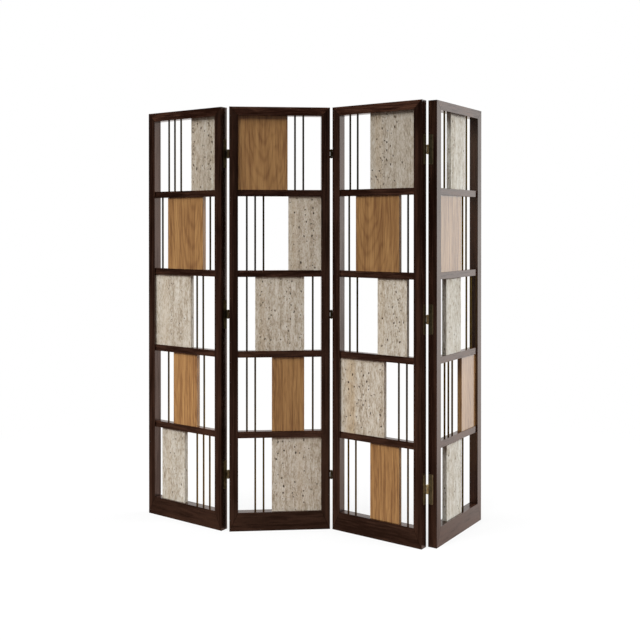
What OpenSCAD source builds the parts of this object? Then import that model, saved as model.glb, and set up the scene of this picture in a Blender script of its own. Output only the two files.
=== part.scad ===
// Four-panel folding screen. Each panel is a mitred frame of dark wood with five cells,
// and each cell holds one oak or travertine board and a few upright metal rods.
// Three knuckled hinges join each pair of panels, with the pins on alternate faces.
// Millimetres, +Z up, +X to the viewer's right, +Y away from the viewer.
// The origin lies under the middle of the whole screen, on the floor.

/* [Panels] */
// Height of a panel
panel_h = 1800; // [1500:10:2100]
// Width of a panel
panel_w = 428; // [380:1:500]
// Thickness of the stiles, top rail and bottom rail
panel_t = 39; // [36:1:50]
// Width of a stile
stile_w = 37; // [34:1:50]
// Height of the top rail
top_rail_h = 37; // [32:1:60]
// Height of a middle rail
mid_rail_h = 28; // [24:1:40]
// Height of the bottom rail
bottom_rail_h = 79; // [50:1:120]
// How far the middle rails lie behind each face
mid_rail_recess = 5.5; // [4:0.5:8]
// Rounding of the frame's long edges
frame_edge_r = 0.75; // [0.5:0.25:3]
// Rounding of the middle rails' long edges
rail_edge_r = 0.75; // [0.5:0.25:2]

/* [Joinery] */
// Thickness of a tenon
tenon_t = 12; // [8:0.5:14]
// Length of the tenons on the top and bottom rails
frame_tenon_l = 24; // [16:1:28]
// Length of the tenons on the middle rails
mid_tenon_l = 20; // [12:1:26]
// Shoulder above and below the tenons of the top and bottom rails
frame_shoulder = 8; // [6:0.5:10]
// Shoulder above and below the tenons of the middle rails
mid_shoulder = 4; // [3:0.5:6]
// Glue gap on each side of a tenon
tenon_fit = 0.1; // [0.05:0.05:0.3]
// Spare depth at the bottom of a mortise
mortise_spare = 1; // [0.5:0.5:2]

/* [Boards and rods] */
// Thickness of the oak and travertine boards
board_t = 20; // [14:1:22]
// Rounding of a board's upright edges
board_edge_r = 1; // [0.5:0.25:2]
// Thickness of the tongues that hold a board in the rails
tongue_t = 8; // [5:0.5:10]
// Height of a tongue
tongue_h = 6; // [4:0.5:7]
// How far a tongue stops short of the board's side
tongue_stop = 5; // [3:0.5:10]
// Gap round a tongue in its groove
tongue_fit = 0.2; // [0.1:0.05:0.4]
// Gap between a board and the rail above it
board_head_gap = 0.3; // [0.1:0.1:0.6]
// Diameter of a rod
rod_d = 8; // [5:0.5:10]
// Depth of the blind holes that hold a rod
rod_hole_depth = 8; // [5:0.5:9]
// Gap round a rod in its hole
rod_fit = 0.05; // [0.02:0.01:0.1]
// Gap over a rod's top end in its hole
rod_head_gap = 0.3; // [0.1:0.1:0.6]

/* [Hinges] */
// Height of a hinge leaf
leaf_h = 122; // [100:1:140]
// Width of a hinge leaf
leaf_w = 20; // [18:0.5:24]
// Thickness of a hinge leaf
leaf_t = 2.2; // [2:0.1:3]
// Rounding of a leaf's corners
leaf_corner_r = 4; // [1:0.5:6]
// Least width of the wood left between a leaf's recess and the panel's face
leaf_lip = 2; // [1.5:0.25:3]
// Gap round a leaf in its recess
leaf_fit = 0.15; // [0.05:0.05:0.3]
// Diameter of the knuckles
knuckle_d = 10; // [9:0.5:12]
// Height of the whole barrel of knuckles
barrel_h = 36; // [30:1:44]
// Height of the middle knuckle
mid_knuckle_h = 17; // [12:1:22]
// Gap between one knuckle and the next
knuckle_gap = 0.3; // [0.2:0.1:0.5]
// Chamfer on the knuckles' ends
knuckle_chamfer = 0.5; // [0.2:0.1:0.8]
// Gap between the knuckles and a panel's edge
knuckle_clear = 0.5; // [0.3:0.1:1]
// Thickness of the web from a leaf to its knuckle
web_t = 2.5; // [2:0.1:2.8]
// How far the pin's axis lies outside the panel's face
pin_offset = 0.25; // [0.25:0.05:1]
// Diameter of a hinge pin
pin_d = 4; // [3:0.1:4.5]
// Running gap round a hinge pin
pin_fit = 0.05; // [0.02:0.01:0.1]
// Diameter of a pin's button ends
pin_button_d = 7; // [6:0.5:8.5]
// Height of a pin's button ends
pin_button_h = 1.6; // [1:0.1:2.5]
// Diameter of a hinge screw's shank
screw_d = 3.5; // [3:0.1:4.5]
// Diameter of a hinge screw's head
screw_head_d = 7; // [6:0.1:8]
// Height of a hinge screw's countersunk head
screw_head_h = 1.8; // [1.4:0.1:2]
// Length of a hinge screw
screw_l = 22; // [16:1:28]
// Gap round a hinge screw
screw_fit = 0.05; // [0.02:0.01:0.1]
// Width of the cross slot in a screw head
slot_w = 0.8; // [0.6:0.1:1.2]
// Length of the cross slot in a screw head
slot_l = 4.2; // [3:0.1:4.8]
// Depth of the cross slot in a screw head
slot_depth = 0.9; // [0.5:0.1:1.2]
// Height of the inner screws above and below the hinge's middle
screw_near = 28; // [26:0.5:32]
// Height of the outer screws above and below the hinge's middle
screw_far = 50; // [40:0.5:52]
// Sideways step between the inner and outer screws
screw_step = 6; // [0:0.5:8]
// How far the hinges lie below the middle of their cells
hinge_drop = 3; // [0:1:20]

/* [Pose] */
// Fold between panels 1 and 2
fold_1_2 = 39; // [0:1:90]
// Fold between panels 2 and 3
fold_2_3 = 39; // [0:1:90]
// Fold between panels 3 and 4
fold_3_4 = 90; // [0:1:120]

/* [Hidden] */
WOOD = [0.17, 0.10, 0.07];
OAK = [0.62, 0.44, 0.27];
TRAVERTINE = [0.72, 0.67, 0.59];
ROD_METAL = [0.45, 0.37, 0.24];
HINGE_METAL = [0.52, 0.46, 0.27];
fine = 48;
over = 1;

// The board and the rods of each cell, from the top cell down, for panels 1 to 4.
// Each place is a share of the opening between the stiles, counted from its left side:
// material, where the board starts, where it ends, and where the rods stand.
CELLS = [
    [
        ["travertine", 0.6, 1, [0.2, 0.3, 0.405]],
        ["oak", 0.205, 0.79, [0.09, 0.885]],
        ["travertine", 0, 0.59, [0.67, 0.77]],
        ["oak", 0.3, 0.69, [0.19, 0.785]],
        ["travertine", 0.105, 0.49, [0.67, 0.775, 0.875]]
    ],
    [
        ["oak", 0, 0.595, [0.685, 0.785]],
        ["travertine", 0.605, 1, [0.105, 0.205, 0.305]],
        ["travertine", 0.205, 0.795, [0.105, 0.9]],
        ["oak", 0.405, 0.795, [0.105, 0.205, 0.9]],
        ["travertine", 0.405, 1, [0.205, 0.305]]
    ],
    [
        ["travertine", 0.41, 1, [0.115, 0.22]],
        ["oak", 0.21, 0.8, [0.1, 0.9]],
        ["travertine", 0.51, 0.9, [0.11, 0.215]],
        ["travertine", 0, 0.6, [0.78, 0.885]],
        ["oak", 0.41, 0.8, [0.09, 0.195, 0.9]]
    ],
    [
        ["travertine", 0.305, 0.69, [0.19, 0.785]],
        ["oak", 0, 0.59, [0.68, 0.78]],
        ["travertine", 0.19, 0.58, [0.79, 0.91]],
        ["oak", 0.6, 1, [0.2, 0.3, 0.4]],
        ["travertine", 0.2, 0.6, [0.69]]
    ]
];
PANELS = len(CELLS);
ROWS = len(CELLS[0]);
HINGE_ROWS = [0, 2, 4];

function material(p, c) = CELLS[p][c][0];
function places(p, c) = CELLS[p][c][3];

// Upright layout of a panel
opening_w = panel_w - 2 * stile_w;
cell_h = (panel_h - top_rail_h - bottom_rail_h - (ROWS - 1) * mid_rail_h) / ROWS;
mid_rail_t = panel_t - 2 * mid_rail_recess;
function cell_z(c) = bottom_rail_h + (ROWS - 1 - c) * (cell_h + mid_rail_h);
function across_opening(share) = stile_w + share * opening_w;

// Hinge line: the gap between two flat panels takes the knuckles
edge_gap = knuckle_d + 2 * knuckle_clear;
half_gap = edge_gap / 2;
side_knuckle_h = (barrel_h - mid_knuckle_h) / 2 - knuckle_gap;
leaf_inset = max(leaf_lip, frame_edge_r);
function hinge_z(c) = cell_z(c) + cell_h / 2 - hinge_drop;
pin_at_back = [true, false, true];
function pin_depth(j) = pin_at_back[j] ? panel_t + pin_offset : -pin_offset;

// Plan of the four panels, first with the front left corner of panel 2 at zero
heading = [-fold_1_2, 0, -fold_2_3, fold_3_4 - fold_2_3];
function along(a) = [cos(a), sin(a)];
function inward(a) = [-sin(a), cos(a)];
function left_pin(corner, p, j) =
    corner - half_gap * along(heading[p]) + pin_depth(j) * inward(heading[p]);
function right_pin(corner, p, j) =
    corner + (panel_w + half_gap) * along(heading[p]) + pin_depth(j) * inward(heading[p]);
function corner_right_of(pin, p, j) =
    pin + half_gap * along(heading[p]) - pin_depth(j) * inward(heading[p]);
function corner_left_of(pin, p, j) =
    pin - (panel_w + half_gap) * along(heading[p]) - pin_depth(j) * inward(heading[p]);
start_2 = [0, 0];
pin_12 = left_pin(start_2, 1, 0);
start_1 = corner_left_of(pin_12, 0, 0);
pin_23 = right_pin(start_2, 1, 1);
start_3 = corner_right_of(pin_23, 2, 1);
pin_34 = right_pin(start_3, 2, 2);
start_4 = corner_right_of(pin_34, 3, 2);
starts = [start_1, start_2, start_3, start_4];
arc_centres = [
    for (p = [0 : PANELS - 1], u = [frame_edge_r, panel_w - frame_edge_r],
            v = [frame_edge_r, panel_t - frame_edge_r])
        starts[p] + u * along(heading[p]) + v * inward(heading[p])
];
plan_x = [for (q = arc_centres) q.x];
plan_y = [for (q = arc_centres) q.y];
plan_middle = [(min(plan_x) + max(plan_x)) / 2, (min(plan_y) + max(plan_y)) / 2];
pins = [pin_12 - plan_middle, pin_23 - plan_middle, pin_34 - plan_middle];
corners = [for (s = starts) s - plan_middle];
echo(pins = pins, corners = corners, heading = heading);
echo(opening_w = opening_w, cell_h = cell_h, hinge_heights = [for (c = HINGE_ROWS) hinge_z(c)]);

function panel_node(p, what) = str("panel_", p + 1, "_", what);
function board_node(p, c) = panel_node(p, str(material(p, c), "_board_", c + 1));
function hinge_node(j, what) = str("hinge_", j + 1, "_", what);
FRAME_PARTS = ["left_stile", "right_stile", "top_rail", "mid_rails", "bottom_rail", "rods"];
HINGE_PARTS = ["left_leaves", "right_leaves", "pins", "left_screws", "right_screws"];

// Places a panel's own frame: X across it from its left edge, Y from its front face to its back
module on_panel(p) {
    translate([corners[p].x, corners[p].y, 0]) rotate(heading[p]) children();
}

// Places the frame of a hinge: X from the pin towards the panel's edge, Y into its thickness
module at_pin(j, side) {
    p = j + side;
    translate([pins[j].x, pins[j].y, 0]) rotate(heading[p])
        mirror([side == 0 ? 1 : 0, 0, 0]) mirror([0, pin_at_back[j] ? 1 : 0, 0])
            children();
}

module rounded_rectangle(w, d, r) {
    translate([r, 0]) square([w - 2 * r, d]);
    translate([0, r]) square([w, d - 2 * r]);
    for (x = [r, w - r], y = [r, d - r]) translate([x, y]) circle(r, $fn = fine);
}

// Upright bar with rounded long edges
module eased_post(w, d, h, r) {
    linear_extrude(h) rounded_rectangle(w, d, r);
}

// Level bar along X with rounded long edges
module eased_bar(l, d, h, r) {
    translate([0, 0, h]) rotate([0, 90, 0]) eased_post(h, d, l, r);
}

// Tenon, grown on every side by a gap, with its root at x = 0
module tenon(l, h, gap) {
    translate([-over, panel_t / 2 - tenon_t / 2 - gap, -gap])
        cube([l + over, tenon_t + 2 * gap, h + 2 * gap]);
}

module mortise(l, h) {
    tenon(l + mortise_spare, h, tenon_fit);
}

// What lies on one side of a corner's mitre, which rises from the frame's outer corner at zero
// to its inner corner: the side of the rail below the cut, or that of the stile above it
module beside_mitre(rail_h, below) {
    slope = rail_h / stile_w;
    near = -2 * over;
    far = stile_w + over;
    translate([0, panel_t + over, 0]) rotate([90, 0, 0]) linear_extrude(panel_t + 2 * over)
        polygon([
            [near, near * slope],
            [far, far * slope],
            below ? [far, near * slope] : [near, far * slope]
        ]);
}

// One stile with its outer edge at x = 0, mitred ends, and the rails' mortises in its inner edge
module mortised_stile() {
    difference() {
        translate([0, 0, -over])
            eased_post(stile_w, panel_t, panel_h + 2 * over, frame_edge_r);
        beside_mitre(bottom_rail_h, true);
        translate([0, 0, panel_h]) mirror([0, 0, 1]) beside_mitre(top_rail_h, true);
        translate([stile_w, 0, 0]) mirror([1, 0, 0]) {
            translate([0, 0, frame_shoulder])
                mortise(frame_tenon_l, bottom_rail_h - 2 * frame_shoulder);
            for (c = [0 : ROWS - 2])
                translate([0, 0, cell_z(c) - mid_rail_h + mid_shoulder])
                    mortise(mid_tenon_l, mid_rail_h - 2 * mid_shoulder);
            translate([0, 0, panel_h - top_rail_h + frame_shoulder])
                mortise(frame_tenon_l, top_rail_h - 2 * frame_shoulder);
        }
    }
}

// Recesses and screw holes for the hinges on one edge
module hinge_cuts(j, side) {
    at_pin(j, side) for (c = HINGE_ROWS) translate([0, 0, hinge_z(c)]) {
        leaf_plate(leaf_fit, over);
        each_screw() screw_shank(screw_fit);
    }
}

module left_stile(p) {
    color(WOOD) difference() {
        on_panel(p) mortised_stile();
        if (p > 0) hinge_cuts(p - 1, 1);
    }
}

module right_stile(p) {
    color(WOOD) difference() {
        on_panel(p) translate([panel_w, 0, 0]) mirror([1, 0, 0]) mortised_stile();
        if (p < PANELS - 1) hinge_cuts(p, 0);
    }
}

// Draws its children at a panel's left end, and mirrored at its right end
module both_ends() {
    children();
    translate([panel_w, 0, 0]) mirror([1, 0, 0]) children();
}

// The two tenons of a rail
module rail_tenons(h, l, shoulder) {
    both_ends() translate([stile_w, 0, shoulder]) mirror([1, 0, 0]) tenon(l, h - 2 * shoulder, 0);
}

// A top or bottom rail with its outer edge at z = 0 and mitred ends
module frame_rail(h) {
    difference() {
        translate([-over, 0, 0]) eased_bar(panel_w + 2 * over, panel_t, h, frame_edge_r);
        both_ends() beside_mitre(h, false);
    }
    rail_tenons(h, frame_tenon_l, frame_shoulder);
}

// A middle rail, which butts against the stiles
module mid_rail() {
    translate([stile_w, mid_rail_recess, 0])
        eased_bar(opening_w, mid_rail_t, mid_rail_h, rail_edge_r);
    rail_tenons(mid_rail_h, mid_tenon_l, mid_shoulder);
}

// The grooves and holes that a cell's board and rods need in the rails above and below it
module sockets(p, c) {
    bottom = cell_z(c);
    for (k = places(p, c))
        translate([across_opening(k), panel_t / 2, bottom - rod_hole_depth])
            cylinder(h = cell_h + 2 * rod_hole_depth, d = rod_d + 2 * rod_fit, $fn = fine);
    translate([0, 0, bottom]) tongues(p, c, tongue_fit, cell_h);
}

module top_rail(p) {
    color(WOOD) on_panel(p) difference() {
        translate([0, 0, panel_h]) mirror([0, 0, 1]) frame_rail(top_rail_h);
        sockets(p, 0);
    }
}

module mid_rails(p) {
    color(WOOD) on_panel(p) for (c = [0 : ROWS - 2]) difference() {
        translate([0, 0, cell_z(c) - mid_rail_h]) mid_rail();
        sockets(p, c);
        sockets(p, c + 1);
    }
}

module bottom_rail(p) {
    color(WOOD) on_panel(p) difference() {
        frame_rail(bottom_rail_h);
        sockets(p, ROWS - 1);
    }
}

// A board's tongues, above and below a body of the given height, grown by a gap
module tongues(p, c, gap, h) {
    left = across_opening(CELLS[p][c][1]) + tongue_stop - gap;
    right = across_opening(CELLS[p][c][2]) - tongue_stop + gap;
    translate([left, panel_t / 2 - tongue_t / 2 - gap, -tongue_h - gap])
        cube([right - left, tongue_t + 2 * gap, h + 2 * tongue_h + 2 * gap]);
}

module board(p, c) {
    left = across_opening(CELLS[p][c][1]);
    right = across_opening(CELLS[p][c][2]);
    body_h = cell_h - board_head_gap;
    color(material(p, c) == "oak" ? OAK : TRAVERTINE) on_panel(p) translate([0, 0, cell_z(c)]) {
        translate([left, (panel_t - board_t) / 2, 0])
            eased_post(right - left, board_t, body_h, board_edge_r);
        tongues(p, c, 0, body_h);
    }
}

module rods(p) {
    color(ROD_METAL) on_panel(p) for (c = [0 : ROWS - 1], k = places(p, c))
        translate([across_opening(k), panel_t / 2, cell_z(c) - rod_hole_depth])
            cylinder(h = cell_h + 2 * rod_hole_depth - rod_head_gap, d = rod_d, $fn = fine);
}

// A leaf's flat plate, grown by a gap at its rim, and by more at its outer face for a recess
module leaf_plate(gap, out) {
    translate([half_gap - out, pin_offset + leaf_inset - gap, -leaf_h / 2 - gap])
        rotate([90, 0, 90]) linear_extrude(leaf_t + out)
            rounded_rectangle(leaf_w + 2 * gap, leaf_h + 2 * gap, leaf_corner_r + gap);
}

// The four screw places of a leaf, each with X pointing into the wood
module each_screw() {
    middle = pin_offset + leaf_inset + leaf_w / 2;
    for (end = [-1, 1]) {
        translate([half_gap, middle - screw_step / 2, end * screw_near]) children();
        translate([half_gap, middle + screw_step / 2, end * screw_far]) children();
    }
}

module screw_shank(gap) {
    rotate([0, 90, 0]) cylinder(h = screw_l + gap, d = screw_d + 2 * gap, $fn = fine);
}

// The countersunk head, or its seat when grown by a gap
module screw_head(gap) {
    rotate([0, 90, 0])
        cylinder(h = screw_head_h, d1 = screw_head_d + 2 * gap, d2 = screw_d + 2 * gap, $fn = fine);
}

module screw() {
    difference() {
        union() {
            screw_head(0);
            screw_shank(0);
        }
        for (turn = [0, 90]) rotate([turn, 0, 0])
            translate([-over, -slot_l / 2, -slot_w / 2]) cube([slot_depth + over, slot_l, slot_w]);
    }
}

// A knuckle of the given height that stands on z = 0, with its web to the plate
module knuckle(h) {
    r = knuckle_d / 2;
    c = knuckle_chamfer;
    difference() {
        union() {
            rotate_extrude($fn = fine)
                polygon([[0, 0], [r - c, 0], [r, c], [r, h - c], [r - c, h], [0, h]]);
            translate([0, r - web_t, 0]) cube([half_gap + leaf_t / 2, web_t, h]);
        }
        translate([0, 0, -over]) cylinder(h = h + 2 * over, d = pin_d + 2 * pin_fit, $fn = fine);
    }
}

module leaf(side) {
    difference() {
        leaf_plate(0, 0);
        each_screw() {
            screw_head(screw_fit);
            screw_shank(screw_fit);
        }
    }
    if (side == 0) {
        translate([0, 0, -barrel_h / 2]) knuckle(side_knuckle_h);
        translate([0, 0, barrel_h / 2 - side_knuckle_h]) knuckle(side_knuckle_h);
    } else {
        translate([0, 0, -mid_knuckle_h / 2]) knuckle(mid_knuckle_h);
    }
}

module leaves(j, side) {
    color(HINGE_METAL) at_pin(j, side) for (c = HINGE_ROWS) translate([0, 0, hinge_z(c)])
        leaf(side);
}

module hinge_pin() {
    cylinder(h = barrel_h, d = pin_d, center = true, $fn = fine);
    for (end = [0, 1]) mirror([0, 0, end]) translate([0, 0, barrel_h / 2])
        cylinder(h = pin_button_h, d1 = pin_button_d, d2 = pin_d, $fn = fine);
}

module hinge_pins(j) {
    color(HINGE_METAL) at_pin(j, 0) for (c = HINGE_ROWS) translate([0, 0, hinge_z(c)])
        hinge_pin();
}

module screws(j, side) {
    color(HINGE_METAL) at_pin(j, side) for (c = HINGE_ROWS) translate([0, 0, hinge_z(c)])
        each_screw() screw();
}

for (p = [0 : PANELS - 1]) {
    left_stile(p);
    right_stile(p);
    top_rail(p);
    mid_rails(p);
    bottom_rail(p);
    rods(p);
    for (c = [0 : ROWS - 1])
        board(p, c);
}
for (j = [0 : PANELS - 2]) {
    leaves(j, 0);
    leaves(j, 1);
    hinge_pins(j);
    screws(j, 0);
    screws(j, 1);
}
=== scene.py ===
"""Looks of the four-panel folding screen: camera, light, floor, materials and pitted stone boards.

Lengths are metres, in the frame of the CAD model.
"""

import math
import random

import bpy
from mathutils import Matrix, Vector
from mathutils.geometry import delaunay_2d_cdt

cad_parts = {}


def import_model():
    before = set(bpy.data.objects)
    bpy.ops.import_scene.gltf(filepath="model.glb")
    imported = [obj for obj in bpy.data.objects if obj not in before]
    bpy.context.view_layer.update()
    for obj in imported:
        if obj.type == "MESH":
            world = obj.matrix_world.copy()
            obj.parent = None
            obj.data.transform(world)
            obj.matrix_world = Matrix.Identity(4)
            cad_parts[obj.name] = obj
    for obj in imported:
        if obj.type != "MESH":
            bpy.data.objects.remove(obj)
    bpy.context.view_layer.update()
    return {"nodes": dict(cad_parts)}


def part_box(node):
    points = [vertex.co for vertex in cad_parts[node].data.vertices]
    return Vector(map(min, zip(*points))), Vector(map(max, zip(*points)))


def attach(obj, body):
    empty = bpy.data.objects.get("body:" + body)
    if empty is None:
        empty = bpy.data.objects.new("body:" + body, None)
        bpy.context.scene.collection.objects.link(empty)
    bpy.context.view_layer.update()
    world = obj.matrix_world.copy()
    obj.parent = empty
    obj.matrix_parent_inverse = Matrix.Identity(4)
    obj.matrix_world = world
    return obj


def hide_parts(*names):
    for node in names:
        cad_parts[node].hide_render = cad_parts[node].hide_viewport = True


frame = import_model()

PANELS = ("panel_1", "panel_2", "panel_3", "panel_4")
STILES = ("left_stile", "right_stile")
RAILS = ("top_rail", "mid_rails", "bottom_rail")
WHITE = (1, 1, 1, 1)

# Camera, found from the photo: nearly level, with the picture shifted down
CAMERA_PLACE = (-0.2871, -3.7961, 1.2889)
CAMERA_TURN = math.radians(-4.607)
CAMERA_DIP = math.radians(0.277)
CAMERA_SHIFT = -0.138
LENS_MM = 50
SENSOR_MM = 36

# Wide overhead lights, none of them seen in gloss: the way to each along the floor, its height
# in degrees, the width it is seen under in degrees and its strength
LAMPS = {
    "left_light": ((-0.8, -0.6), 64, 44, 8.3),
    "right_light": ((0.99, -0.1), 46, 44, 5.5),
}

# How far away the lamps stand. They are suns, so it doesn't change their light
LAMP_DISTANCE = 5

# Light from all round on dull surfaces, as a radiance
AMBIENT = (0.25, 0.25, 0.25, 1)

# What gloss mirrors behind the screen: a colour by height, from 0 straight below to 1 straight
# above, times a colour by depth, which grows towards the back and, by the lean, to the right
BACKDROP_BY_HEIGHT = (
    (0.33, (0.34, 0.25, 0.22)),
    (0.37, (0.74, 0.67, 0.64)),
    (0.50, (1.00, 1.00, 1.00)),
    (0.66, (0.62, 0.62, 0.62)),
)
BACKDROP_BY_DEPTH = (
    (0.12, (0.40, 0.32, 0.28)),
    (0.45, (0.63, 0.55, 0.51)),
    (0.64, (0.89, 0.87, 0.84)),
    (0.73, (1.47, 1.59, 1.61)),
    (0.78, (1.00, 1.00, 0.99)),
)
BACKDROP_LEAN = 0.35

# What gloss mirrors before the screen: a dim room over a warm floor, the upward slopes between
# which the floor fades into the room, and the depths between which both give way to the backdrop
ROOM = (0.006, 0.006, 0.006, 1)
ROOM_LOW = (0.11, 0.065, 0.045, 1)
ROOM_SLOPES = (-0.35, 0.08)
ROOM_DEPTHS = (-0.05, 0.12)

# How many times brighter all that gloss mirrors is than these colours
MIRRORED = 1.2

# Floor: half its width, the share of matt paint in the white glow that the camera sees near the
# screen, that paint's colour, the floor's colour to all but the camera, and the distances from
# the middle between which the share of paint fades out
FLOOR_HALF = 4.0
FLOOR_SHADE = 0.18
FLOOR_PAINT = (0.33, 0.33, 0.33, 1)
FLOOR_BOUNCE = (0.10, 0.065, 0.05, 1)
SHADE_NEAR = 1.2
SHADE_FAR = 2.6

# Boards: thickness and height of the tongues, how far these stop short of the board's sides and
# the radius of its upright edges, all as in the CAD model, and the flats round each such edge
TONGUE_T = 0.008
TONGUE_H = 0.006
TONGUE_STOP = 0.005
BOARD_EDGE_R = 0.001
EDGE_STEPS = 5


def middle(node):
    low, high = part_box(node)
    return (low + high) / 2


class Place:
    """A panel's own directions: X across it to the right, Y into its thickness, Z up.

    The origin lies on the floor under the middle of the panel.
    """

    def __init__(self, panel):
        left = middle(f"{panel}_left_stile")
        right = middle(f"{panel}_right_stile")
        along = right - left
        self.heading = math.atan2(along.y, along.x)
        self.centre = Vector(((left.x + right.x) / 2, (left.y + right.y) / 2, 0))
        self.turn = Matrix.Rotation(self.heading, 3, "Z")

    def inside(self, point):
        """A point of the row frame, in the panel's directions."""
        return self.turn.transposed() @ (Vector(point) - self.centre)

    def outside(self, point):
        """A point in the panel's directions, in the row frame."""
        return self.turn @ Vector(point) + self.centre

    def box(self, node):
        """Lowest and highest corner of a CAD node in the panel's directions."""
        points = [self.inside(v.co) for v in frame["nodes"][node].data.vertices]
        low = Vector(min(p[k] for p in points) for k in range(3))
        high = Vector(max(p[k] for p in points) for k in range(3))
        return low, high


places = {panel: Place(panel) for panel in PANELS}


def empty_tree(owner):
    """The cleared node tree of a material or a world."""
    owner.use_nodes = True
    owner.node_tree.nodes.clear()
    return owner.node_tree


def fill(tree, socket, value):
    """Gives an input a number, a colour or another node's socket."""
    if isinstance(value, bpy.types.NodeSocket):
        tree.links.new(value, socket)
    else:
        socket.default_value = value


def add(tree, kind, inputs=None, **settings):
    """Adds a node with its settings and inputs."""
    made = tree.nodes.new(kind)
    for name, value in settings.items():
        setattr(made, name, value)
    for name, value in (inputs or {}).items():
        fill(tree, made.inputs[name], value)
    return made


def math_node(tree, operation, *values):
    inputs = dict(enumerate(values))
    return add(tree, "ShaderNodeMath", inputs, operation=operation).outputs[0]


def vector_node(tree, operation, *values):
    inputs = dict(enumerate(values))
    return add(tree, "ShaderNodeVectorMath", inputs, operation=operation).outputs[0]


def length_of(tree, vector):
    made = add(tree, "ShaderNodeVectorMath", {0: vector}, operation="LENGTH")
    return made.outputs["Value"]


def parts_of(tree, vector):
    return add(tree, "ShaderNodeSeparateXYZ", {"Vector": vector}).outputs


def between(tree, value, low, high, to_low=0.0, to_high=1.0):
    """Runs smoothly from to_low to to_high as value goes from low to high."""
    inputs = {"Value": value, "From Min": low, "From Max": high}
    inputs.update({"To Min": to_low, "To Max": to_high})
    made = add(tree, "ShaderNodeMapRange", inputs, interpolation_type="SMOOTHSTEP")
    return made.outputs["Result"]


def mix(tree, share, first, second, blend="MIX"):
    """Mixes two colours. The node's sockets 0, 6, 7 and 2 are those of its colour form."""
    inputs = {0: share, 6: first, 7: second}
    made = add(tree, "ShaderNodeMix", inputs, data_type="RGBA", blend_type=blend)
    return made.outputs[2]


def mix_shaders(tree, share, first, second):
    inputs = {0: share, 1: first.outputs[0], 2: second.outputs[0]}
    return add(tree, "ShaderNodeMixShader", inputs)


def ramp(tree, value, stops):
    """A colour ramp through (place, colour) stops."""
    made = add(tree, "ShaderNodeValToRGB", {"Fac": value})
    band = made.color_ramp
    while len(band.elements) < len(stops):
        band.elements.new(0.5)
    for element, (spot, colour) in zip(band.elements, stops):
        element.position = spot
        element.color = (*colour, 1)
    return made.outputs["Color"]


def noise(tree, vector, scale, detail, roughness=0.5, distortion=0.0):
    inputs = {"Vector": vector, "Scale": scale, "Detail": detail}
    inputs.update({"Roughness": roughness, "Distortion": distortion})
    return add(tree, "ShaderNodeTexNoise", inputs).outputs["Fac"]


def tall_noise(tree, vector, squash, scale, detail, roughness, distortion=0.0):
    """Noise stretched upright: squash is the width of its spots over their height."""
    squashed = vector_node(tree, "MULTIPLY", vector, (1, 1, squash))
    return noise(tree, squashed, scale, detail, roughness, distortion)


def blend_of(tree, *parts):
    """Sum of (value, gain) pairs about 0.5, where each value is itself about 0.5."""
    total = 0.5
    for value, gain in parts:
        centred = math_node(tree, "MULTIPLY_ADD", value, gain, -0.5 * gain)
        total = math_node(tree, "ADD", centred, total)
    return total


def new_material(name, place, origin=(0, 0, 0)):
    """A material, its node tree, and coordinates in a place's directions from an origin there."""
    material = bpy.data.materials.new(name)
    tree = empty_tree(material)
    move = -(place.turn.transposed() @ place.centre) - Vector(origin)
    source = add(tree, "ShaderNodeTexCoord").outputs["Object"]
    inputs = {"Vector": source, "Location": move, "Rotation": (0, 0, -place.heading)}
    made = add(tree, "ShaderNodeMapping", inputs, vector_type="POINT")
    return material, tree, made.outputs["Vector"]


def finish_material(tree, shader):
    add(tree, "ShaderNodeOutputMaterial", {"Surface": shader.outputs[0]})


# How far a piece's pattern is moved at random, so that no two pieces share it
SHIFT_LEAST = 5
SHIFT_MOST = 40
OAK_SHIFT_MOST = 50

# Range that most of a pattern's tones keep to
TONES = (0.2, 0.8)

# Depth of the fibres of both woods, and how strongly bumps show except on brass
FIBRE_DEPTH = 0.0002
BUMP_STRENGTH = 0.4


def shifted(tree, vector, chance, most):
    """The same coordinates, moved far away at random."""
    shift = [chance.uniform(SHIFT_LEAST, most) for _ in range(3)]
    return vector_node(tree, "ADD", vector, shift)


def bump(tree, height, distance, strength=BUMP_STRENGTH):
    inputs = {"Height": height, "Distance": distance, "Strength": strength}
    return add(tree, "ShaderNodeBump", inputs).outputs["Normal"]


def tinted(colour, share):
    return tuple(share * part for part in colour)


def cooled(colour, share):
    """A colour with more blue, and half as much more green."""
    red, green, blue = colour
    return red, green * (1 + share / 2), blue * (1 + share)


# Dark wood: how its coordinates are squeezed along the grain of stiles and of rails, its colours
# and those of its gloss from the darkest fibres to the lightest, and its surface
UPRIGHT_GRAIN = (1, 1, 0.03)
LEVEL_GRAIN = (0.07, 1, 1)
WOOD_TONES = (
    (0.15, (0.0060, 0.0020, 0.0011)),
    (0.50, (0.0132, 0.0052, 0.0031)),
    (0.85, (0.0280, 0.0118, 0.0068)),
)
WOOD_SHEEN = (
    (0.15, (0.62, 0.51, 0.47)),
    (0.50, (1.00, 0.86, 0.81)),
    (0.85, (1.00, 0.87, 0.82)),
)
WOOD_ROUGHNESS = (0.17, 0.26)
WOOD_IOR = 2.3

# How many times as light the dark wood of a part is as that of the stiles
WOOD_LIGHT = {"top_rail": 2.1, "mid_rails": 1.5, "bottom_rail": 0.85}

# Dark line at the mitres: half its width, the share of that which is wholly dark, its colours,
# and how much of the wood's colour it covers
MITRE_LINE = 0.0012
MITRE_CORE = 0.4
MITRE_COLOUR = (0.004, 0.002, 0.001, 1)
MITRE_SHEEN = (0.1, 0.1, 0.1, 1)
MITRE_COVER = 0.8


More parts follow.
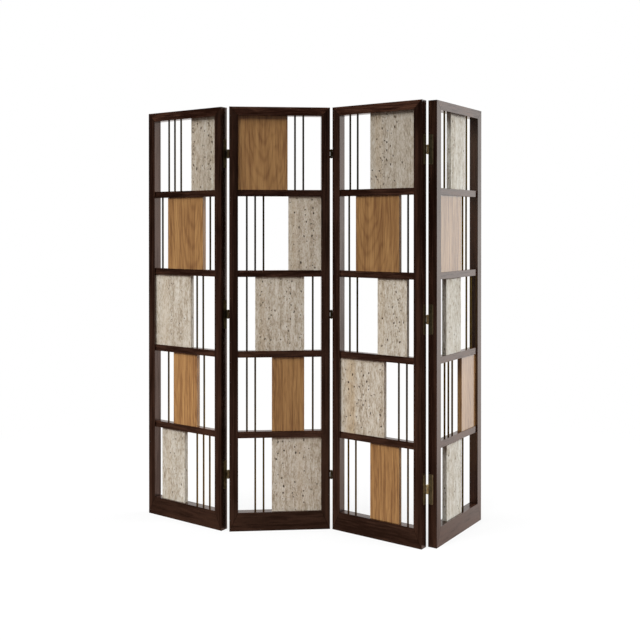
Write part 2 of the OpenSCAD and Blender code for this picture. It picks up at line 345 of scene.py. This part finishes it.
def mitre_line(tree, panel, spot):
    """How near a point is to the joint of a mitred corner, from 0 to 1."""
    place = places[panel]
    stile_low, stile_high = place.box(f"{panel}_left_stile")
    stile_w = stile_high.x - stile_low.x
    bottom = place.box(f"{panel}_bottom_rail")
    top = place.box(f"{panel}_top_rail")
    parts = parts_of(tree, spot)
    from_middle = math_node(tree, "ABSOLUTE", parts["X"])
    from_side = math_node(tree, "SUBTRACT", bottom[1].x, from_middle)
    from_top = math_node(tree, "SUBTRACT", top[1].z, parts["Z"])
    lines = []
    for rise, (low, high) in ((parts["Z"], bottom), (from_top, top)):
        slope = (high.z - low.z) / stile_w
        off = math_node(tree, "MULTIPLY_ADD", from_side, -slope, rise)
        off = math_node(tree, "ABSOLUTE", off)
        width = MITRE_LINE * math.hypot(1, slope)
        lines.append(between(tree, off, MITRE_CORE * width, width, to_low=1, to_high=0))
    return math_node(tree, "MAXIMUM", *lines)


def dark_wood(panel, part, seed):
    """Lacquered dark wood with its grain along the part and a dark line at the mitres."""
    material, tree, spot = new_material(f"dark_wood_{panel}_{part}", places[panel])
    moved = shifted(tree, spot, random.Random(seed), SHIFT_MOST)
    grain = UPRIGHT_GRAIN if part in STILES else LEVEL_GRAIN
    light = WOOD_LIGHT.get(part, 1.0)
    fibres = vector_node(tree, "MULTIPLY", moved, grain)
    streaks = noise(tree, fibres, scale=190, detail=3, roughness=0.6, distortion=0.3)
    fine = noise(tree, fibres, scale=900, detail=2, roughness=0.6)
    bands = noise(tree, fibres, scale=45, detail=2)
    drift = noise(tree, moved, scale=5, detail=2)
    tone = blend_of(tree, (streaks, 1.9), (fine, 0.7), (bands, 1.4), (drift, 0.8))
    colour = ramp(tree, tone, [(at, tinted(shade, light)) for at, shade in WOOD_TONES])
    sheen = ramp(tree, tone, WOOD_SHEEN)
    if part != "mid_rails":
        joint = mitre_line(tree, panel, spot)
        cover = math_node(tree, "MULTIPLY", joint, MITRE_COVER)
        colour = mix(tree, cover, colour, MITRE_COLOUR)
        sheen = mix(tree, joint, sheen, MITRE_SHEEN)
    height = blend_of(tree, (streaks, 1.0), (fine, 0.6))
    shader = add(tree, "ShaderNodeBsdfPrincipled", {
        "Base Color": colour,
        "Roughness": between(tree, tone, *TONES, *WOOD_ROUGHNESS),
        "IOR": WOOD_IOR,
        "Specular Tint": sheen,
        "Normal": bump(tree, height, FIBRE_DEPTH),
    })
    finish_material(tree, shader)
    return material


# Oak: its colours from the lightest wood to the darkest, the colour of its pores, the tones
# between which they set in and how much they cover, and its surface
OAK_TONES = (
    (0.06, (0.430, 0.243, 0.094)),
    (0.44, (0.330, 0.172, 0.063)),
    (0.90, (0.190, 0.086, 0.032)),
)
OAK_PORE = (0.14, 0.065, 0.026, 1)
OAK_PORE_TONES = (0.62, 0.76)
OAK_PORE_COVER = 0.5
OAK_ROUGHNESS = (0.36, 0.5)
OAK_IOR = 1.6
LACQUER_ROUGHNESS = 0.2

# Growth rings: how many to a metre, how thin their dark lines are, how far they wander, how much
# the heart leans out of the board's plane, and how far in front of the board's middle it stays
OAK_RINGS = 62
RING_POWER = 3.0
RING_WANDER = 0.08
HEART_LEAN = (0.16, 0.26)
HEART_DEPTH = 0.02

# Tint of each oak board, where the heart of its tree lies, from 0 at the board's left edge to 1
# at its right, and its lacquer's index of refraction
OAK = {
    "panel_1_oak_board_2": (0.80, 0.72, 1.75),
    "panel_1_oak_board_4": (0.96, 1.7, 1.75),
    "panel_2_oak_board_1": (0.68, 0.5, 1.75),
    "panel_2_oak_board_4": (0.78, -0.5, 1.75),
    "panel_3_oak_board_2": (0.65, 0.3, 1.75),
    "panel_3_oak_board_5": (0.80, 2.0, 1.75),
    "panel_4_oak_board_2": (0.66, -0.7, 2.08),
    "panel_4_oak_board_4": (0.71, 1.8, 2.36),
}


def growth_rings(tree, spot, moved, height, chance):
    """Rings round a heart that leans out of the plane of the board, from 0 to 1 on a dark line."""
    parts = parts_of(tree, spot)
    slow = tall_noise(tree, moved, squash=0.2, scale=16, detail=3, roughness=0.55)
    wander = math_node(tree, "MULTIPLY_ADD", slow, RING_WANDER, -RING_WANDER / 2)
    across = math_node(tree, "ADD", parts["X"], wander)
    lean = chance.choice((-1, 1)) * chance.uniform(*HEART_LEAN)
    start = HEART_DEPTH if lean > 0 else HEART_DEPTH - lean * height
    depth = math_node(tree, "MULTIPLY_ADD", parts["Z"], lean, start)
    depth = math_node(tree, "ADD", depth, parts["Y"])
    square = math_node(tree, "MULTIPLY", across, across)
    radius = math_node(tree, "SQRT", math_node(tree, "MULTIPLY_ADD", depth, depth, square))
    wave = math_node(tree, "SINE", math_node(tree, "MULTIPLY", radius, 2 * math.pi * OAK_RINGS))
    wave = math_node(tree, "MULTIPLY_ADD", wave, 0.5, 0.5)
    return math_node(tree, "POWER", wave, RING_POWER)


def oak(node, place, seed):
    """Oak whose growth rings run up the face in long points, or straight far from the heart."""
    tint, heart_share, lacquer = OAK[node]
    low, high = place.box(node)
    heart = low.x + (high.x - low.x) * heart_share
    material, tree, spot = new_material(f"wood_{node}", place, (heart, 0, low.z))
    chance = random.Random(seed)
    moved = shifted(tree, spot, chance, OAK_SHIFT_MOST)
    rings = growth_rings(tree, spot, moved, high.z - low.z, chance)
    fibres = tall_noise(tree, moved, squash=0.02, scale=240, detail=3, roughness=0.7)
    fine = tall_noise(tree, moved, squash=0.04, scale=800, detail=2, roughness=0.6)
    bands = tall_noise(tree, moved, squash=0.06, scale=30, detail=3, roughness=0.55)
    tone = blend_of(tree, (rings, 0.26), (fibres, 2.6), (fine, 0.8), (bands, 1.2))
    colour = ramp(tree, tone, [(at, tinted(shade, tint)) for at, shade in OAK_TONES])
    pores = between(tree, fine, *OAK_PORE_TONES, to_high=OAK_PORE_COVER)
    shader = add(tree, "ShaderNodeBsdfPrincipled", {
        "Base Color": mix(tree, pores, colour, OAK_PORE),
        "Roughness": between(tree, tone, *TONES, *OAK_ROUGHNESS),
        "IOR": OAK_IOR,
        "Coat Weight": 1.0,
        "Coat Roughness": LACQUER_ROUGHNESS,
        "Coat IOR": lacquer,
        "Normal": bump(tree, math_node(tree, "SUBTRACT", fibres, pores), FIBRE_DEPTH),
    })
    finish_material(tree, shader)
    return material


# Travertine: its colours from the darkest stone to the lightest; its dashes' colour, the tones
# between which they set in and how much they cover; the colour of its warm bands and the share
# of their width that is wholly warm; the colour painted into its pits, mostly painted shade of
# the hollows with some brown fill, and how much it covers; and its surface, which is rougher
# over the higher tones of the dashes
STONE_TONES = (
    (0.10, (0.185, 0.142, 0.095)),
    (0.38, (0.345, 0.295, 0.226)),
    (0.60, (0.445, 0.400, 0.332)),
    (0.90, (0.545, 0.520, 0.460)),
)
STONE_DASH = (0.150, 0.105, 0.062, 1)
STONE_DASH_TONES = (0.60, 0.73)
STONE_DASH_COVER = 0.5
STONE_WARM = (0.36, 0.245, 0.115, 1)
STONE_WARM_CORE = 0.2
STONE_PIT_SHADE_AND_FILL = (0.050, 0.032, 0.018, 1)
STONE_PIT_SHADE_COVER = 0.9
STONE_ROUGH_TONES = (0.3, 0.7)
STONE_ROUGHNESS = (0.38, 0.55)
STONE_IOR = 1.5
STONE_DEPTH = 0.0003

# Mesh attribute that holds each vertex's pit value, by which painted shade darkens the pits
PIT_SHADE_ATTRIBUTE = "pit"

# Stone boards: number of pits tried on the front and on the back, widest pit, middle (from the
# board's left edge), half width and strength of a warm band, tint, and how much cooler the stone
# is than the warmest; on panel 4's boards that coolness is mostly painted reflection of the pale
# backdrop
STONE = {
    "panel_1_travertine_board_1": (70, 0.010, 0.03, 0.05, 0.15, 0.78, 0.0),
    "panel_1_travertine_board_3": (40, 0.007, 0.06, 0.04, 0.2, 1.00, 0.03),
    "panel_1_travertine_board_5": (40, 0.008, 0.04, 0.03, 0.2, 1.03, 0.08),
    "panel_2_travertine_board_2": (70, 0.009, 0.024, 0.03, 0.25, 0.97, 0.0),
    "panel_2_travertine_board_3": (90, 0.008, 0.03, 0.03, 0.2, 1.02, 0.03),
    "panel_2_travertine_board_5": (90, 0.009, 0.12, 0.03, 0.2, 1.0, 0.0),
    "panel_3_travertine_board_1": (70, 0.009, 0.04, 0.04, 0.2, 0.69, 0.0),
    "panel_3_travertine_board_3": (60, 0.008, 0.02, 0.03, 0.2, 0.92, 0.04),
    "panel_3_travertine_board_4": (90, 0.009, 0.05, 0.05, 0.6, 0.93, 0.0),
    "panel_4_travertine_board_1": (40, 0.007, 0.05, 0.03, 0.1, 1.03, 0.16),
    "panel_4_travertine_board_3": (40, 0.007, 0.05, 0.03, 0.1, 1.04, 0.2),
    "panel_4_travertine_board_5": (40, 0.007, 0.05, 0.03, 0.1, 1.05, 0.2),
}


def travertine(node, place, seed, warm_band, tint, cool_and_reflection):
    """Honed travertine cut across its beds, which stand upright on the boards."""
    low = place.box(node)[0]
    material, tree, spot = new_material(f"stone_{node}", place, (low.x, 0, low.z))
    moved = shifted(tree, spot, random.Random(seed), SHIFT_MOST)
    beds = tall_noise(tree, moved, squash=0.05, scale=42, detail=3, roughness=0.6, distortion=0.2)
    veins = tall_noise(tree, moved, squash=0.2, scale=200, detail=3, roughness=0.66)
    clouds = tall_noise(tree, moved, squash=0.4, scale=60, detail=3, roughness=0.6, distortion=0.3)
    dashes = tall_noise(tree, moved, squash=0.3, scale=340, detail=2, roughness=0.6)
    tone = blend_of(tree, (beds, 0.7), (veins, 1.15), (clouds, 0.75), (dashes, 1.3))
    # On panel 4's boards the extra coolness is painted reflection of the pale backdrop
    stops = [(at, cooled(tinted(shade, tint), cool_and_reflection)) for at, shade in STONE_TONES]
    brown = between(tree, dashes, *STONE_DASH_TONES, to_high=STONE_DASH_COVER)
    colour = mix(tree, brown, ramp(tree, tone, stops), STONE_DASH)
    centre, half_width, strength = warm_band
    away = math_node(tree, "SUBTRACT", parts_of(tree, spot)["X"], centre)
    away = math_node(tree, "ABSOLUTE", away)
    warm = between(tree, away, STONE_WARM_CORE * half_width, half_width, to_low=1, to_high=0)
    warm = math_node(tree, "MULTIPLY", warm, veins)
    warm = between(tree, warm, *TONES, to_high=strength)
    colour = mix(tree, warm, colour, STONE_WARM)
    # Painted shade, with some brown fill, darkens the hollows of the pits
    pit = add(tree, "ShaderNodeAttribute", attribute_name=PIT_SHADE_ATTRIBUTE).outputs["Fac"]
    pit = math_node(tree, "MULTIPLY", pit, STONE_PIT_SHADE_COVER)
    shader = add(tree, "ShaderNodeBsdfPrincipled", {
        "Base Color": mix(tree, pit, colour, STONE_PIT_SHADE_AND_FILL),
        "Roughness": between(tree, dashes, *STONE_ROUGH_TONES, *STONE_ROUGHNESS),
        "IOR": STONE_IOR,
        "Normal": bump(tree, tone, STONE_DEPTH),
    })
    finish_material(tree, shader)
    return material


# Brass of the rods and of the hinges: its colour bare, under patina and at a grazing view, how
# metallic and how rough it is when bare, and the scale of its patina's spots
ROD_BRASS = {
    "bright": (0.162, 0.124, 0.034),
    "dull": (0.096, 0.072, 0.017),
    "edge": (0.30, 0.22, 0.08, 1),
    "metallic": 1.0,
    "roughness": 0.26,
    "spots": 25,
}
HINGE_BRASS = {
    "bright": (0.18, 0.145, 0.08),
    "dull": (0.095, 0.075, 0.04),
    "edge": (0.8, 0.68, 0.40, 1),
    "metallic": 0.82,
    "roughness": 0.42,
    "spots": 90,
}

# Panel whose directions all brass takes its pattern from
METAL_PANEL = "panel_2"

# Patina: the ages between which it sets in, and how much rougher it is than bare brass; then
# the depth of the brushed lines and how strongly they show
PATINA = (0.3, 0.75)
PATINA_ROUGHNESS = 0.14
BRUSH_DEPTH = 0.00003
BRUSH_STRENGTH = 0.3

# Heights between which the painted light on brass at the floor, brighter as painted reflection of
# the floor or darker as painted shade, fades back to the brass's own colour
PAINTED_FLOOR_LIGHT_FADE = (0.1, 1.0)

# For each panel's rods, how much of the brass's colour shows, as painted light and shade per
# panel,
# and how many times that at the floor: painted reflection of the floor, and on panel 4 painted
# shade
RODS_PAINTED_LIGHT = {
    "panel_1": (1.0, 4.6),
    "panel_2": (0.6, 4.6),
    "panel_3": (0.8, 4.4),
    "panel_4": (2.5, 0.5),
}

# For each joint's hinges, how much of the brass's colour shows and how many times that on the
# knuckles, both painted light and shade per joint, and for them all how many times that at the
# floor, a painted reflection of the floor
HINGES_PAINTED_LIGHT = {"hinge_1": (0.55, 2.8), "hinge_2": (0.5, 0.8), "hinge_3": (0.85, 4.6)}
HINGE_PAINTED_LIGHT_AT_FLOOR = 2.2

# Distance from a hinge's axis within which its knuckles lie, and over which their painted light
# fades; width of the leaves' rim with its painted highlight, the half of it that fades, and how
# many times brighter it is
KNUCKLE_R = 0.0052
KNUCKLE_FADE = 0.002
RIM_W = 0.0045
RIM_HIGHLIGHT = 2.2


def reach_from(axis, node):
    """How far a CAD node reaches from an upright axis."""
    return max(math.dist(v.co.xy, axis.xy) for v in frame["nodes"][node].data.vertices)


def hinge_painted_light(tree, spot, hinge, knuckle_painted_light):
    """Painted light on a hinge: how many times brighter it is on its knuckles and along its
    leaves' rim.
    """
    axis = middle(f"{hinge}_pins")
    reach = reach_from(axis, f"{hinge}_right_leaves")
    x, y = places[METAL_PANEL].inside(axis).xy
    off = vector_node(tree, "SUBTRACT", spot, (x, y, 0))
    off = length_of(tree, vector_node(tree, "MULTIPLY", off, (1, 1, 0)))
    knuckle = between(tree, off, KNUCKLE_R, KNUCKLE_R + KNUCKLE_FADE, knuckle_painted_light, 1)
    rim = between(tree, off, reach - RIM_W, reach - RIM_W / 2, 1, RIM_HIGHLIGHT)
    return math_node(tree, "MULTIPLY", knuckle, rim)


def antique_brass(name, brass, share, painted_light_at_floor, hinge=None, knuckle_painted_light=1.0):
    """Brass with brushed lines, brown patina and painted light, and painted highlights on hinges.
    """
    material, tree, spot = new_material(name, places[METAL_PANEL])
    lines = tall_noise(tree, spot, squash=0.06, scale=700, detail=2, roughness=0.6)
    patches = noise(tree, spot, scale=brass["spots"], detail=4, roughness=0.65)
    age = blend_of(tree, (lines, 0.5), (patches, 1.2))
    bright = (*tinted(brass["bright"], share), 1)
    dull = (*tinted(brass["dull"], share), 1)
    colour = mix(tree, between(tree, age, *PATINA), bright, dull)
    # Painted light: the brass is brighter or darker towards the floor
    gain = between(tree, parts_of(tree, spot)["Z"], *PAINTED_FLOOR_LIGHT_FADE, painted_light_at_floor, 1)
    if hinge:
        painted_hinge_light = hinge_painted_light(tree, spot, hinge, knuckle_painted_light)
        gain = math_node(tree, "MULTIPLY", gain, painted_hinge_light)
    colour = add(tree, "ShaderNodeVectorMath", {0: colour, "Scale": gain}, operation="SCALE")
    rough = brass["roughness"]
    shader = add(tree, "ShaderNodeBsdfPrincipled", {
        "Base Color": colour.outputs[0],
        "Metallic": brass["metallic"],
        "Specular Tint": brass["edge"],
        "Roughness": between(tree, age, *PATINA, rough, rough + PATINA_ROUGHNESS),
        "Normal": bump(tree, lines, BRUSH_DEPTH, BRUSH_STRENGTH),
    })
    finish_material(tree, shader)
    return material


# Pits: half the width of the smallest, how rare large ones are, how tall they are for their
# width, the room kept between them, and the tries that each has to find a place
PIT_LEAST = 0.0007
PIT_RARITY = 2.0
PIT_TALL = (1.0, 2.1)
PIT_CLEAR = 0.0012
PIT_TRIES = 12

# Upright bands of pits: the share of the tries that are near one, the width of face to a band,
# how far the pits spread from its middle, and the least number of bands
BAND_SHARE = 0.72
BAND_EVERY = 0.045
BAND_SPREAD = 0.006
BANDS_LEAST = 2

# Ring round a pit: its number of points up to a size and beyond it, how unevenly they are
# turned and how far they reach, the furthest with a little to spare, and how much it leans
SMALL_PIT = 0.0015
SMALL_POINTS = 8
LARGE_POINTS = 12
RING_TURN = 0.25
RING_REACH = (0.7, 1.15)
RING_LIMIT = 1.2
RING_LEAN = 0.35

# Hollow inside the ring: its depth for its size, the deepest, how wide its floor is for its
# ring, and how deep the edge of the floor lies for its middle
HOLLOW_DEPTH = (1.1, 1.9)
HOLLOW_DEEPEST = 0.0035
HOLLOW_FLOOR = 0.62
HOLLOW_EDGE = (0.6, 0.8)

# Share of a face's pits that each narrow side of a board has
SIDE_PITS = 0.16

# Triangles of a side: the kind of output that keeps inside its outline, and the distance within
# which two points count as one
INSIDE_ONLY = 1
SAME_POINT = 1e-7


def pit_outline(chance, centre, size, tall, points):
    """An uneven ring round a pit's centre, taller than it is wide."""
    lean = chance.uniform(-RING_LEAN, RING_LEAN)
    ring = []
    for k in range(points):
        angle = 2 * math.pi * (k + chance.uniform(-RING_TURN, RING_TURN)) / points
        reach = size * chance.uniform(*RING_REACH)
        x = reach * math.cos(angle)
        z = reach * tall * math.sin(angle)
        ring.append((centre[0] + x * math.cos(lean) - z * math.sin(lean),
                     centre[1] + x * math.sin(lean) + z * math.cos(lean)))
    return ring


def random_spot(chance, bands, width, height):
    """A place on a face, mostly near one of its bands."""
    if chance.random() < BAND_SHARE:
        x = chance.choice(bands) + chance.gauss(0, BAND_SPREAD)
    else:
        x = chance.uniform(0, width)
    return x, chance.uniform(0, height)


def has_room(spot, reach, width, height, pits):
    """Whether a pit at a spot keeps clear of the face's edges and of the other pits."""
    x, z = spot
    margin = reach + PIT_CLEAR
    if not margin < x < width - margin or not margin < z < height - margin:
        return False
    return all(math.dist(spot, centre) > margin + other for centre, other, _, _ in pits)


def scatter_pits(chance, width, height, count, largest):
    """Centre, reach, size and tallness of a face's pits, most of them small and in bands."""
    bands = [chance.uniform(0, width) for _ in range(max(BANDS_LEAST, round(width / BAND_EVERY)))]
    pits = []
    for _ in range(count):
        size = PIT_LEAST + (largest / 2 - PIT_LEAST) * chance.random() ** PIT_RARITY
        tall = chance.uniform(*PIT_TALL)
        reach = size * tall * RING_LIMIT
        for _ in range(PIT_TRIES):
            spot = random_spot(chance, bands, width, height)
            if has_room(spot, reach, width, height, pits):
                pits.append((spot, reach, size, tall))
                break
    return pits


class Shell:
    """Vertices and faces of a mesh in the making.

    Each vertex also has its pit value, 1 on the floor of a pit and 0 elsewhere, for painted shade.
    """

    def __init__(self):
        self.points = []
        self.pit = []
        self.faces = []
        self.smooth = []

    def point(self, where, pit=0.0):
        """Adds a vertex and returns its number."""
        self.points.append(Vector(where))
        self.pit.append(pit)
        return len(self.points) - 1

    def face(self, corners, smooth=False):
        self.faces.append(tuple(corners))
        self.smooth.append(smooth)


class Side:
    """A flat side of a board, between four vertices anticlockwise from its lower left."""

    def __init__(self, shell, corners):
        self.first = shell.points[corners[0]]
        self.right = shell.points[corners[1]] - self.first
        self.up = shell.points[corners[3]] - self.first
        self.width = self.right.length
        self.height = self.up.length
        self.right.normalize()
        self.up.normalize()
        self.inward = self.up.cross(self.right)

    def at(self, x, z):
        """The point so far to the right of and above the first vertex."""
        return self.first + self.right * x + self.up * z


def add_hollow(shell, side, chance, centre, size, ring, rim):
    """The hollow of a pit, from its rim's vertices, which lie on the ring, to its floor."""
    depth = min(HOLLOW_DEEPEST, size * chance.uniform(*HOLLOW_DEPTH))
    floor_edge = []
    for ring_x, ring_z in ring:
        x = centre[0] + (ring_x - centre[0]) * HOLLOW_FLOOR
        z = centre[1] + (ring_z - centre[1]) * HOLLOW_FLOOR
        where = side.at(x, z) + side.inward * depth * chance.uniform(*HOLLOW_EDGE)
        floor_edge.append(shell.point(where, 1.0))
    bottom = shell.point(side.at(*centre) + side.inward * depth, 1.0)
    after_rim = rim[1:] + rim[:1]
    after_edge = floor_edge[1:] + floor_edge[:1]
    for a, b, c, d in zip(rim, after_rim, after_edge, floor_edge):
        shell.face((a, b, c, d), smooth=True)
        shell.face((d, c, bottom), smooth=True)


def pitted_side(shell, corners, chance, count, largest):
    """Fills a flat side between four vertices with triangles and pits."""
    side = Side(shell, corners)
    flat = [(0, 0), (side.width, 0), (side.width, side.height), (0, side.height)]
    ids = list(corners)
    # Number of the pit that each point belongs to; the four corners belong to none
    owner = [None] * 4
    edges = [(0, 1), (1, 2), (2, 3), (3, 0)]
    pits = []
    for centre, _, size, tall in scatter_pits(chance, side.width, side.height, count, largest):
        points = SMALL_POINTS if size < SMALL_PIT else LARGE_POINTS
        ring = pit_outline(chance, centre, size, tall, points)
        loop = list(range(len(flat), len(flat) + points))
        rim = [shell.point(side.at(x, z)) for x, z in ring]
        flat += ring
        ids += rim
        owner += [len(pits)] * points
        edges += zip(loop, loop[1:] + loop[:1])
        pits.append((centre, size, ring, rim))
    found = delaunay_2d_cdt([Vector(p) for p in flat], edges, [[0, 1, 2, 3]], INSIDE_ONLY,
                            SAME_POINT)
    triangles, sources = found[2:4]
    # A triangle with all its corners on one ring is left out. That opens the pit, but also the
    # small notches between the points of an uneven ring
    for triangle in triangles:
        own = [sources[k][0] for k in triangle]
        owners = {owner[k] for k in own}
        if len(owners) > 1 or None in owners:
            shell.face([ids[k] for k in own])
    for pit in pits:
        add_hollow(shell, side, chance, *pit)


def corner_arcs(low, high):
    """Rounded corners of a board's plan, anticlockwise from the front left, each as an arc."""
    r = BOARD_EDGE_R
    centres = [(low.x + r, low.y + r), (high.x - r, low.y + r),
               (high.x - r, high.y - r), (low.x + r, high.y - r)]
    arcs = []
    for k, (x, y) in enumerate(centres):
        start = math.pi + k * math.pi / 2
        turns = [start + math.pi / 2 * i / EDGE_STEPS for i in range(EDGE_STEPS + 1)]
        arcs.append([(x + r * math.cos(a), y + r * math.sin(a)) for a in turns])
    return arcs


def board_end(shell, ends, tongue, tip_z, shoulder_z, order):
    """Closes one end of a board: the shoulder round its tongue, and the tongue.

    The order is 1 at the upper end, and -1 at the lower, where it turns each face over.
    """
    root = [shell.point((x, y, shoulder_z)) for x, y in tongue]
    tip = [shell.point((x, y, tip_z)) for x, y in tongue]
    for k in range(4):
        after = (k + 1) % 4
        for a, b in zip(ends[k], ends[k][1:]):
            shell.face((a, b, root[k])[::order])
        shell.face((ends[k][-1], ends[after][0], root[after], root[k])[::order])
        shell.face((root[k], root[after], tip[after], tip[k])[::order])
    shell.face(tip[::order])


def stone_board(node, place, seed, count, largest):
    """A travertine board with pits in its four upright sides, in place of the CAD node."""
    low, high = place.box(node)
    foot, head = low.z + TONGUE_H, high.z - TONGUE_H
    chance = random.Random(seed)
    shell = Shell()
    arcs = corner_arcs(low, high)
    lower = [[shell.point((x, y, foot)) for x, y in arc] for arc in arcs]
    upper = [[shell.point((x, y, head)) for x, y in arc] for arc in arcs]
    for k in range(4):
        after = (k + 1) % 4
        for i in range(EDGE_STEPS):
            shell.face((lower[k][i], lower[k][i + 1], upper[k][i + 1], upper[k][i]))
        corners = (lower[k][-1], lower[after][0], upper[after][0], upper[k][-1])
        share = 1.0 if k % 2 == 0 else SIDE_PITS
        pitted_side(shell, corners, chance, round(count * share), largest)
    near, far = -TONGUE_T / 2, TONGUE_T / 2
    left, right = low.x + TONGUE_STOP, high.x - TONGUE_STOP
    tongue = [(left, near), (right, near), (right, far), (left, far)]
    board_end(shell, lower, tongue, low.z, foot, -1)
    board_end(shell, upper, tongue, high.z, head, 1)
    mesh = bpy.data.meshes.new(f"{node}_stone")
    mesh.from_pydata([place.outside(p) for p in shell.points], [], shell.faces)
    mesh.polygons.foreach_set("use_smooth", shell.smooth)
    pit = mesh.attributes.new(PIT_SHADE_ATTRIBUTE, "FLOAT", "POINT")
    pit.data.foreach_set("value", shell.pit)
    mesh.update()
    made = bpy.data.objects.new(f"{node}_stone", mesh)
    bpy.context.scene.collection.objects.link(made)
    return made


# Seeds of the random draws: a panel's frame parts and boards count on from its number times these
PART_SEEDS = 100
BOARD_SEEDS = 1000


def dress(node, material):
    """Gives a CAD node its material."""
    mesh = frame["nodes"][node].data
    mesh.materials.clear()
    mesh.materials.append(material)


def dress_panel(number, panel):
    """Gives a panel's nodes their materials, and pitted boards in place of its stone ones."""
    place = places[panel]
    for k, part in enumerate(STILES + RAILS):
        dress(f"{panel}_{part}", dark_wood(panel, part, PART_SEEDS * number + k))
    # Painted light and shade of this panel's rods
    share, painted_light_at_floor = RODS_PAINTED_LIGHT[panel]
    dress(f"{panel}_rods", antique_brass(f"rod_metal_{panel}", ROD_BRASS, share, painted_light_at_floor))
    for node in sorted(frame["nodes"]):
        if not node.startswith(panel) or "_board_" not in node:
            continue
        seed = BOARD_SEEDS * number + int(node[-1])
        if "oak" in node:
            dress(node, oak(node, place, seed))
            continue
        count, largest, *warm_band, tint, cool_and_reflection = STONE[node]
        board = stone_board(node, place, seed, count, largest)
        board.data.materials.append(travertine(node, place, seed, warm_band, tint, cool_and_reflection))
        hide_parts(node)
        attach(board, panel)


def dress_hinge(hinge):
    """Gives the nodes of a joint's three hinges their material."""
    # Painted light and shade of this joint's hinges
    share, knuckle_painted_light = HINGES_PAINTED_LIGHT[hinge]
    metal = antique_brass(f"{hinge}_metal", HINGE_BRASS, share, HINGE_PAINTED_LIGHT_AT_FLOOR, hinge,
                          knuckle_painted_light)
    for node in frame["nodes"]:
        if node.startswith(hinge):
            dress(node, metal)


def seen_directly(tree, path):
    """1 where a ray comes from the camera, also through glass, and 0 elsewhere."""
    return math_node(tree, "MAXIMUM", path["Is Camera Ray"], path["Is Transmission Ray"])


def floor():
    """A pale floor that fades into the backdrop and keeps a soft shadow near the screen."""
    material = bpy.data.materials.new("floor")
    tree = empty_tree(material)
    away = length_of(tree, add(tree, "ShaderNodeTexCoord").outputs["Object"])
    glow = between(tree, away, SHADE_NEAR, SHADE_FAR, 1 - FLOOR_SHADE, 1)
    seen = seen_directly(tree, add(tree, "ShaderNodeLightPath").outputs)
    white = add(tree, "ShaderNodeEmission", {"Color": WHITE, "Strength": 1.0})
    tint = mix(tree, seen, FLOOR_BOUNCE, FLOOR_PAINT)
    paint = add(tree, "ShaderNodeBsdfDiffuse", {"Color": tint})
    share = math_node(tree, "MULTIPLY", seen, glow)
    finish_material(tree, mix_shaders(tree, share, paint, white))
    bpy.ops.mesh.primitive_plane_add(size=2 * FLOOR_HALF, location=(0, 0, 0))
    made = bpy.context.object
    made.name = "floor"
    made.data.materials.append(material)
    made.visible_glossy = False


def world():
    """White to the camera; in gloss, a backdrop behind the screen and a dim room before it."""
    made = bpy.data.worlds.new("studio")
    tree = empty_tree(made)
    parts = parts_of(tree, add(tree, "ShaderNodeTexCoord").outputs["Generated"])
    height = math_node(tree, "MULTIPLY_ADD", parts["Z"], 0.5, 0.5)
    depth = math_node(tree, "MULTIPLY_ADD", parts["X"], BACKDROP_LEAN, parts["Y"])
    by_height = ramp(tree, height, BACKDROP_BY_HEIGHT)
    by_depth = ramp(tree, depth, BACKDROP_BY_DEPTH)
    backdrop = mix(tree, 1.0, by_height, by_depth, "MULTIPLY")
    room = mix(tree, between(tree, parts["Z"], *ROOM_SLOPES), ROOM_LOW, ROOM)
    mirrored = mix(tree, between(tree, depth, *ROOM_DEPTHS), room, backdrop)
    path = add(tree, "ShaderNodeLightPath").outputs
    light = add(tree, "ShaderNodeBackground", {"Color": AMBIENT})
    mirror = add(tree, "ShaderNodeBackground", {"Color": mirrored, "Strength": MIRRORED})
    white = add(tree, "ShaderNodeBackground", {"Color": WHITE})
    lit = mix_shaders(tree, path["Is Glossy Ray"], light, mirror)
    whole = mix_shaders(tree, seen_directly(tree, path), lit, white)
    add(tree, "ShaderNodeOutputWorld", {"Surface": whole.outputs[0]})
    bpy.context.scene.world = made


def lamp(name, way, height, width, strength):
    data = bpy.data.lights.new(name, "SUN")
    data.angle = math.radians(width)
    data.energy = strength
    made = bpy.data.objects.new(name, data)
    flat = Vector((*way, 0)).normalized() * math.cos(math.radians(height))
    source = flat + Vector((0, 0, math.sin(math.radians(height))))
    made.location = LAMP_DISTANCE * source
    made.rotation_euler = (-source).to_track_quat("-Z", "Y").to_euler()
    made.visible_glossy = False
    made.visible_camera = False
    bpy.context.scene.collection.objects.link(made)


def camera():
    data = bpy.data.cameras.new("camera")
    data.lens = LENS_MM
    data.sensor_width = SENSOR_MM
    data.shift_y = CAMERA_SHIFT
    made = bpy.data.objects.new("camera", data)
    made.location = CAMERA_PLACE
    made.rotation_euler = (math.pi / 2 - CAMERA_DIP, 0, CAMERA_TURN)
    bpy.context.scene.collection.objects.link(made)
    bpy.context.scene.camera = made


for number, panel in enumerate(PANELS, 1):
    dress_panel(number, panel)
for hinge in HINGES_PAINTED_LIGHT:
    dress_hinge(hinge)
camera()
floor()
world()
for name, values in LAMPS.items():
    lamp(name, *values)
bpy.context.scene.view_settings.view_transform = "Standard"
